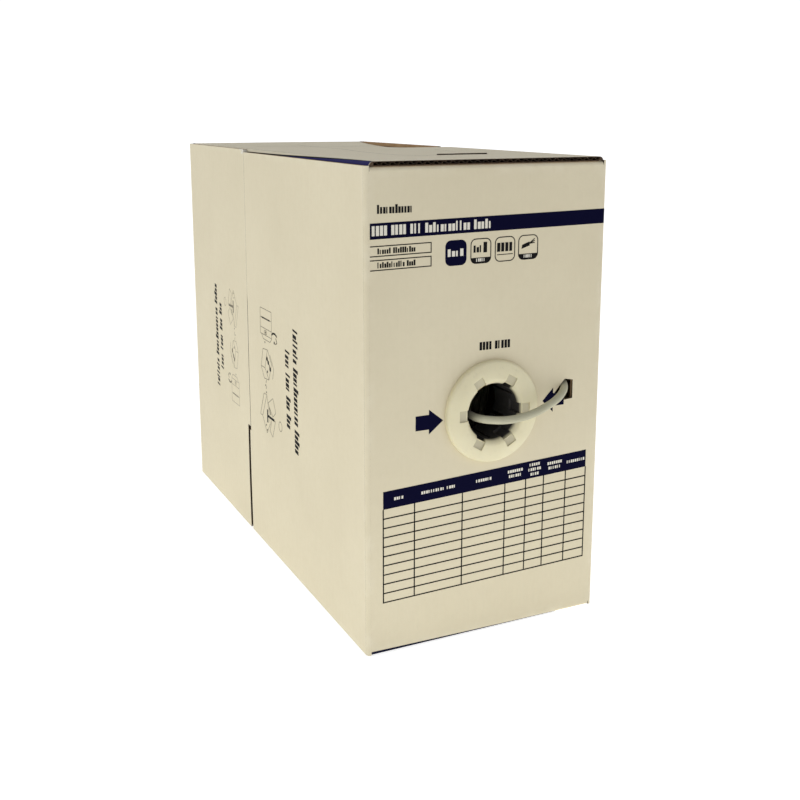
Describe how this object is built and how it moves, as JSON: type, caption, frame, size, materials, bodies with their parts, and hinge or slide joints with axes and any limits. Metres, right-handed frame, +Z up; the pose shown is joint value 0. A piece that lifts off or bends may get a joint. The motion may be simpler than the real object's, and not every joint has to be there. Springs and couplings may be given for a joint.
{
  "type": "cable spool box",
  "caption": "Upright corrugated carton with an installation cable reel turning inside, a plastic pay-out collar in its narrow face and opening side flaps.",
  "frame": {"origin": "on the floor, under the middle of the carton with its collar, at the base mount", "axes": "-Y out of the narrow front face with the collar, +X to the right seen from the front, +Z up"},
  "size_m": [0.21, 0.5016, 0.38],
  "materials": {
    "white_liner": "matt white-lined corrugated board with dark blue print",
    "kraft_board": "plain brown kraft corrugated board",
    "core_board": "spirally wound grey-brown paper tube",
    "fibreboard": "raw hard fibreboard",
    "collar_plastic": "moulded cream plastic, slight sheen",
    "washer_plastic": "natural nylon",
    "bush_plastic": "moulded black plastic",
    "zinc_steel": "bright zinc-plated steel",
    "cable_jacket": "pale grey-green low-smoke cable jacket"
  },
  "bodies": {
    "carton": {"front_panel": "white_liner", "rear_panel": "white_liner", "top_panel": "white_liner", "bottom_panel": "white_liner", "glue_tab": "kraft_board", "left_top_flap": "white_liner", "left_bottom_flap": "white_liner", "right_top_flap": "white_liner", "right_bottom_flap": "white_liner", "payout_collar": "collar_plastic", "insert_left": "kraft_board", "insert_right": "kraft_board", "axle_tube": "core_board", "axle_washer_left": "washer_plastic", "axle_washer_right": "washer_plastic", "cable_tail": "cable_jacket"},
    "left_front_flap": {"left_front_flap": "white_liner"},
    "left_rear_flap": {"left_rear_flap": "white_liner"},
    "reel": {"reel_flange_left": "fibreboard", "reel_flange_right": "fibreboard", "reel_core": "core_board", "hub_bush_left": "bush_plastic", "hub_bush_right": "bush_plastic", "tie_rods": "zinc_steel", "tie_nuts_left": "zinc_steel", "tie_nuts_right": "zinc_steel", "cable_winding": "cable_jacket"},
    "right_front_flap": {"right_front_flap": "white_liner"},
    "right_rear_flap": {"right_rear_flap": "white_liner"}
  },
  "joints": [
    {"name": "reel_spin", "type": "hinge", "parent": "carton", "child": "reel", "pos_m": [0, 0.055, 0.19], "axis": [1, 0, 0], "continuous": true},
    {"name": "left_front_hinge", "type": "hinge", "parent": "carton", "child": "left_front_flap", "pos_m": [-0.105, -0.2365, 0.19], "axis": [0, 0, 1], "range_deg": [0, 170]},
    {"name": "left_rear_hinge", "type": "hinge", "parent": "carton", "child": "left_rear_flap", "pos_m": [-0.105, 0.2435, 0.19], "axis": [0, 0, -1], "range_deg": [0, 170]},
    {"name": "right_front_hinge", "type": "hinge", "parent": "carton", "child": "right_front_flap", "pos_m": [0.105, -0.2365, 0.19], "axis": [0, 0, -1], "range_deg": [0, 170]},
    {"name": "right_rear_hinge", "type": "hinge", "parent": "carton", "child": "right_rear_flap", "pos_m": [0.105, 0.2435, 0.19], "axis": [0, 0, 1], "range_deg": [0, 170]}
  ]
}
